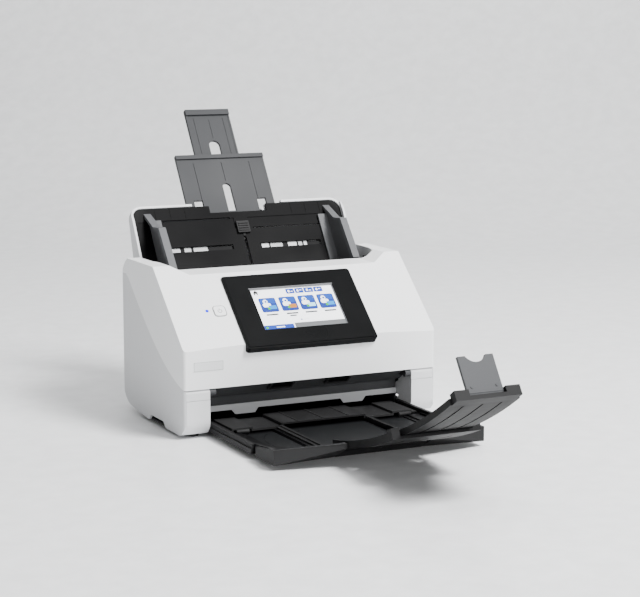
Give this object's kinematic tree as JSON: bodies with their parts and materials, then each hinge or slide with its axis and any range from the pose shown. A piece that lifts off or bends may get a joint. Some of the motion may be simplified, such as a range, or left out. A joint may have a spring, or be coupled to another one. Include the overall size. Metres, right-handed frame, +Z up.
{
  "type": "document scanner",
  "caption": "Sheet-fed desktop document scanner with slanted touch panel, leaning input tray with telescoping support, sliding edge guides and a drawer-like output tray with curved extension.",
  "frame": {"origin": "on the desk, in the middle of the bounding box's width and depth, with the output tray, its extension and the paper support all pulled out as at rest", "axes": "+X to the user's right, +Y towards the back, +Z up; the output tray comes out along -Y"},
  "size_m": [0.296, 0.6456, 0.3245],
  "materials": {
    "white_plastic": "fine satin",
    "front_plastic": "fine satin",
    "sill_plastic": "fine satin",
    "black_plastic": "fine texture",
    "charcoal_plastic": "fine texture",
    "grey_plastic": "fine texture",
    "bezel": "brushed dark",
    "rubber": "matt",
    "roller_rubber": "matt",
    "steel": "satin",
    "frame_steel": "zinc plated",
    "brass": "plain",
    "bronze": "sintered",
    "glass": "clear",
    "screen": "lit screen",
    "board": "solder mask",
    "idler_plastic": "smooth",
    "lamp": "lit",
    "label": "blank foil"
  },
  "bodies": {
    "base": {"base_shell": "white_plastic", "front_columns": "white_plastic", "hinge_caps": "white_plastic", "exit_sill": "sill_plastic", "base_pan": "black_plastic", "rubber_feet": "rubber", "chassis_deck": "frame_steel", "side_frames": "frame_steel", "shaft_bushes": "bronze", "path_frame": "black_plastic", "lower_scan_glass": "glass", "lower_sensor_bar": "black_plastic", "main_board": "board", "usb_socket": "steel", "lan_socket": "steel", "dc_inlet": "black_plastic", "drive_motor": "frame_steel", "drive_belts": "black_plastic", "hinge_pins": "steel", "latch_strikers": "steel", "base_screws": "frame_steel", "tray_shell": "white_plastic", "tray_rear_cover": "white_plastic", "tray_plate": "charcoal_plastic"},
    "cover": {"cover_shell": "front_plastic", "cover_frame": "black_plastic", "hold_tabs": "black_plastic", "panel_bezel": "bezel", "touch_glass": "screen", "lcd_module": "frame_steel", "panel_board": "board", "status_led": "lamp", "label_plate": "label", "upper_scan_glass": "glass", "upper_sensor_bar": "black_plastic", "cover_screws": "frame_steel"},
    "power_button": {"power_button": "front_plastic"},
    "latch": {"latch_bar": "black_plastic"},
    "separation_roller": {"separation_core": "frame_steel", "separation_tyre": "roller_rubber"},
    "feed_idlers": {"feed_idlers": "idler_plastic"},
    "exit_idlers": {"exit_idlers": "idler_plastic"},
    "pickup_drive": {"pickup_shaft": "steel", "pickup_tyre": "roller_rubber"},
    "feed_drive": {"feed_shaft": "steel", "feed_tyres": "roller_rubber"},
    "exit_drive": {"exit_shaft": "steel", "exit_tyres": "roller_rubber"},
    "motor_pulley": {"motor_pulley": "brass"},
    "support_lower": {"support_lower": "grey_plastic"},
    "support_upper": {"support_upper": "grey_plastic"},
    "guide_left": {"edge_guide_left": "charcoal_plastic"},
    "guide_right": {"edge_guide_right": "charcoal_plastic"},
    "guide_pinion": {"guide_pinion": "bronze"},
    "separation_lever": {"separation_lever": "black_plastic"},
    "drawer": {"output_tray": "black_plastic", "tray_top_plate": "black_plastic"},
    "extension_lower": {"extension_lower": "black_plastic"},
    "extension_upper": {"extension_upper": "charcoal_plastic"},
    "stopper": {"stopper": "grey_plastic"}
  },
  "joints": [
    {"name": "cover_hinge", "type": "hinge", "parent": "base", "child": "cover", "pos_m": [0, 0.03558, 0.0482], "axis": [1, 0, 0], "range_deg": [0, 65]},
    {"name": "cover_latch", "type": "hinge", "parent": "cover", "child": "latch", "pos_m": [0, 0.13428, 0.14], "axis": [1, 0, 0], "range_deg": [0, 8], "stiffness_Nm_per_rad": 0.05, "springref_deg": -5.73},
    {"name": "power_button_press", "type": "slide", "parent": "cover", "child": "power_button", "axis": [0, 0.6769, -0.7361], "range_m": [0, 0.001], "stiffness_N_per_m": 300, "springref_m": -0.001},
    {"name": "separation_spin", "type": "hinge", "parent": "cover", "child": "separation_roller", "pos_m": [0, 0.12693, 0.10646], "axis": [1, 0, 0], "continuous": true},
    {"name": "feed_idler_spin", "type": "hinge", "parent": "cover", "child": "feed_idlers", "pos_m": [0, 0.11313, 0.08577], "axis": [1, 0, 0], "continuous": true},
    {"name": "exit_idler_spin", "type": "hinge", "parent": "cover", "child": "exit_idlers", "pos_m": [0, 0.07353, 0.0525], "axis": [1, 0, 0], "continuous": true},
    {"name": "feed_spin", "type": "hinge", "parent": "base", "child": "feed_drive", "pos_m": [0, 0.12409, 0.07344], "axis": [1, 0, 0], "continuous": true},
    {"name": "pickup_spin", "type": "hinge", "parent": "base", "child": "pickup_drive", "pos_m": [0, 0.14363, 0.08854], "axis": [1, 0, 0], "continuous": true},
    {"name": "exit_spin", "type": "hinge", "parent": "base", "child": "exit_drive", "pos_m": [0, 0.08283, 0.0401], "axis": [1, 0, 0], "continuous": true},
    {"name": "motor_spin", "type": "hinge", "parent": "base", "child": "motor_pulley", "pos_m": [0, 0.18128, 0.06], "axis": [1, 0, 0], "continuous": true},
    {"name": "support_lower_slide", "type": "slide", "parent": "base", "child": "support_lower", "axis": [0, -0.5446, -0.8387], "range_m": [0, 0.055]},
    {"name": "support_upper_slide", "type": "slide", "parent": "support_lower", "child": "support_upper", "axis": [0, -0.5446, -0.8387], "range_m": [0, 0.055]},
    {"name": "guide_left_slide", "type": "slide", "parent": "base", "child": "guide_left", "axis": [1, 0, 0], "range_m": [0, 0.083]},
    {"name": "guide_right_slide", "type": "slide", "parent": "base", "child": "guide_right", "axis": [-1, 0, 0], "range_m": [0, 0.083]},
    {"name": "guide_pinion_spin", "type": "hinge", "parent": "base", "child": "guide_pinion", "pos_m": [0, 0.21788, 0.20002], "axis": [0, -0.8387, 0.5446], "range_deg": [-793, 0]},
    {"name": "separation_lever_slide", "type": "slide", "parent": "base", "child": "separation_lever", "axis": [0, -0.5446, -0.8387], "range_m": [0, 0.012]},
    {"name": "drawer_slide", "type": "slide", "parent": "base", "child": "drawer", "axis": [0, 1, 0], "range_m": [0, 0.145]},
    {"name": "extension_lower_arc", "type": "hinge", "parent": "drawer", "child": "extension_lower", "pos_m": [0, -0.03322, 0.5276], "axis": [1, 0, 0], "range_deg": [0, 11]},
    {"name": "extension_upper_arc", "type": "hinge", "parent": "extension_lower", "child": "extension_upper", "pos_m": [0, -0.03322, 0.5276], "axis": [1, 0, 0], "range_deg": [0, 11.7]},
    {"name": "stopper_fold", "type": "hinge", "parent": "extension_upper", "child": "stopper", "pos_m": [0, -0.31416, 0.10315], "axis": [-1, 0, 0], "range_deg": [0, 90]}
  ],
  "couplings": [
    {"joint": "guide_right_slide", "follows": "guide_left_slide", "ratio": 1},
    {"joint": "guide_pinion_spin", "follows": "guide_left_slide", "rad_per_m": -166.67},
    {"joint": "pickup_spin", "follows": "feed_spin", "ratio": 1},
    {"joint": "exit_spin", "follows": "feed_spin", "ratio": 1},
    {"joint": "motor_spin", "follows": "feed_spin", "ratio": 1.3333}
  ]
}
